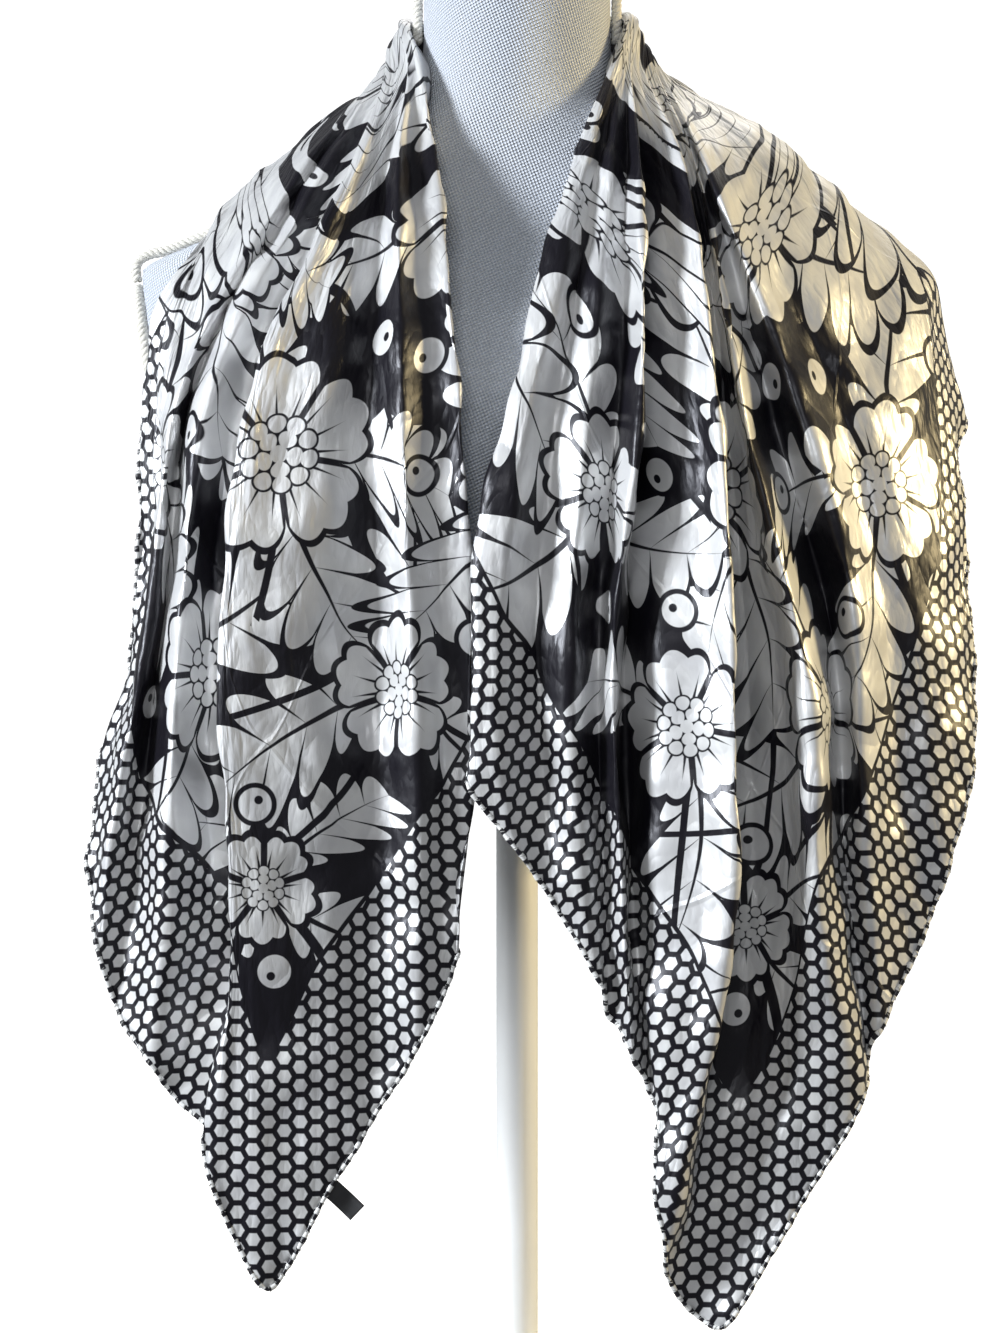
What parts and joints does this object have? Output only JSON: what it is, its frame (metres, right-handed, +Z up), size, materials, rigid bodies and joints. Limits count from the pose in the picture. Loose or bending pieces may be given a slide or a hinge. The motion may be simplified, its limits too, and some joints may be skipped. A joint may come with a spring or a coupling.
{
  "type": "satin scarf on dress form",
  "caption": "Square satin scarf with a leaf and flower print and a hexagon border, draped round the neck of a limbless canvas dress form on a pole stand.",
  "frame": {"origin": "centre of the underside of the stand's round base", "axes": "+Z up; the front of the form faces -Y; +X is to the right as seen from the front"},
  "size_m": [0.4287, 0.284, 0.7893],
  "materials": {
    "satin": "glossy satin print",
    "canvas": "matt woven canvas",
    "braid": "twisted cotton braid",
    "stand": "satin paint",
    "label": "woven tape"
  },
  "bodies": {
    "root": {"form_torso": "canvas", "form_neck_cap": "stand", "armhole_plate_left": "stand", "armhole_plate_right": "stand", "braid_neck_left": "braid", "braid_neck_right": "braid", "braid_shoulder_left": "braid", "braid_shoulder_right": "braid", "braid_armhole_left": "braid", "braid_armhole_right": "braid", "stand_collar": "stand", "stand_pole": "stand", "stand_base": "stand", "scarf_front_left": "satin", "scarf_front_right": "satin", "scarf_neck_roll": "satin", "label": "label"}
  },
  "joints": []
}
